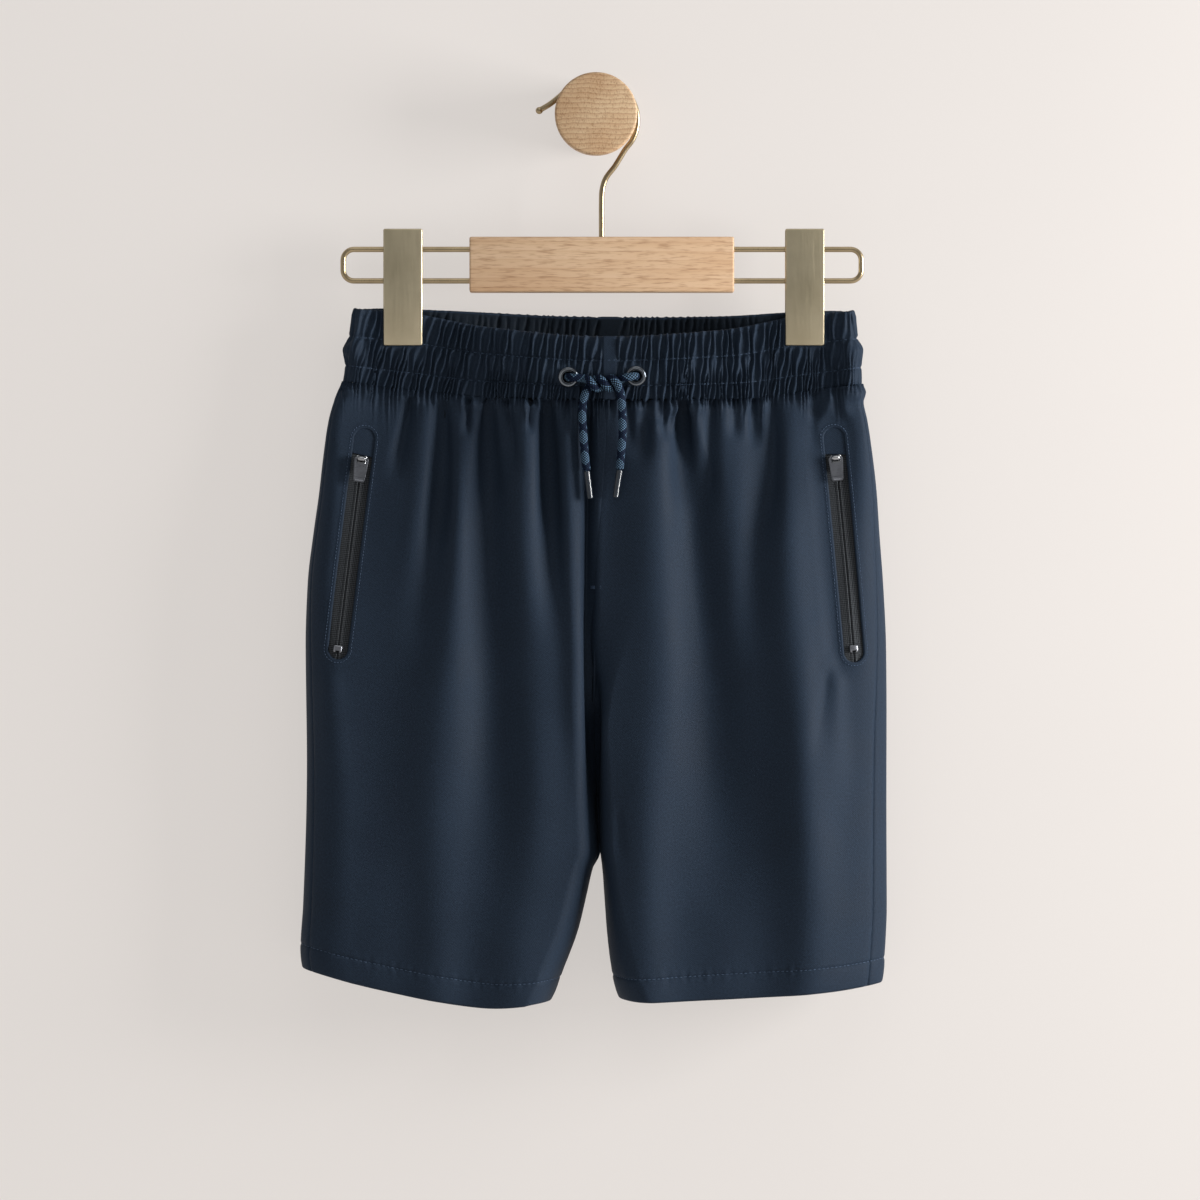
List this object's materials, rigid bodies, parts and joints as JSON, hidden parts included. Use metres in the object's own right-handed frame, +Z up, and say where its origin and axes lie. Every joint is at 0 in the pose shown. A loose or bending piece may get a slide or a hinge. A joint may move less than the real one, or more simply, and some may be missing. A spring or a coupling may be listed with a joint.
{
  "type": "athletic shorts on a clip hanger with its wall peg",
  "caption": "Gathered athletic shorts with a drawcord and zip pockets, held flat by a wooden clip hanger that hangs from a turned wall peg.",
  "frame": {"origin": "centre of the wall peg's flat back face, on the wall plane", "axes": "+Z up, +Y into the wall, +X towards the wearer's left leg; the front of the shorts faces -Y"},
  "size_m": [0.3288, 0.0558, 0.5199],
  "materials": {
    "peg_wood": "turned beech, end grain, oiled",
    "bar_wood": "planed beech, clear matt lacquer",
    "hanger_wire": "satin champagne brass plated wire",
    "clip_plate": "brushed champagne brass plated steel",
    "leg_cloth": "smooth woven polyester with a slight sheen",
    "band_cloth": "the same polyester gathered over elastic",
    "zip_tape": "woven reverse coil zip tape",
    "zip_metal": "nickel plated die-cast zinc",
    "pull_tab": "satin grey enamel on die-cast zinc",
    "eyelet": "gunmetal plated pressed brass",
    "drawcord": "round braided polyester cord, slate blue with dark bands",
    "aglet": "clear moulded tip over the braid"
  },
  "bodies": {
    "garment": {"wall_peg": "peg_wood", "hanger_hook": "hanger_wire", "hanger_bar": "bar_wood", "rail_right": "hanger_wire", "rail_left": "hanger_wire", "clip_front_right": "clip_plate", "clip_front_left": "clip_plate", "clip_back_right": "clip_plate", "clip_back_left": "clip_plate", "clip_carrier_right": "clip_plate", "clip_carrier_left": "clip_plate", "waistband_front": "band_cloth", "waistband_back": "band_cloth", "front_right": "leg_cloth", "front_left": "leg_cloth", "back_right": "leg_cloth", "back_left": "leg_cloth", "zip_garage_right": "leg_cloth", "zip_garage_left": "leg_cloth", "zip_tape_right": "zip_tape", "zip_tape_left": "zip_tape", "zip_slider_right": "zip_metal", "zip_slider_left": "zip_metal", "zip_stop_right": "zip_metal", "zip_stop_left": "zip_metal", "eyelet_right": "eyelet", "eyelet_left": "eyelet", "drawcord_right": "drawcord", "drawcord_left": "drawcord", "aglet_right": "aglet", "aglet_left": "aglet"},
    "tab_right": {"pull_tab_right": "pull_tab"},
    "tab_left": {"pull_tab_left": "pull_tab"}
  },
  "joints": [
    {"name": "tab_right_swing", "type": "hinge", "parent": "garment", "child": "tab_right", "pos_m": [-0.13068, -0.04157, -0.19223], "axis": [-0.988, -0.0789, 0.133], "range_deg": [0, 150]},
    {"name": "tab_left_swing", "type": "hinge", "parent": "garment", "child": "tab_left", "pos_m": [0.13371, -0.03934, -0.19171], "axis": [-0.9898, 0.0927, -0.1084], "range_deg": [0, 150]}
  ]
}
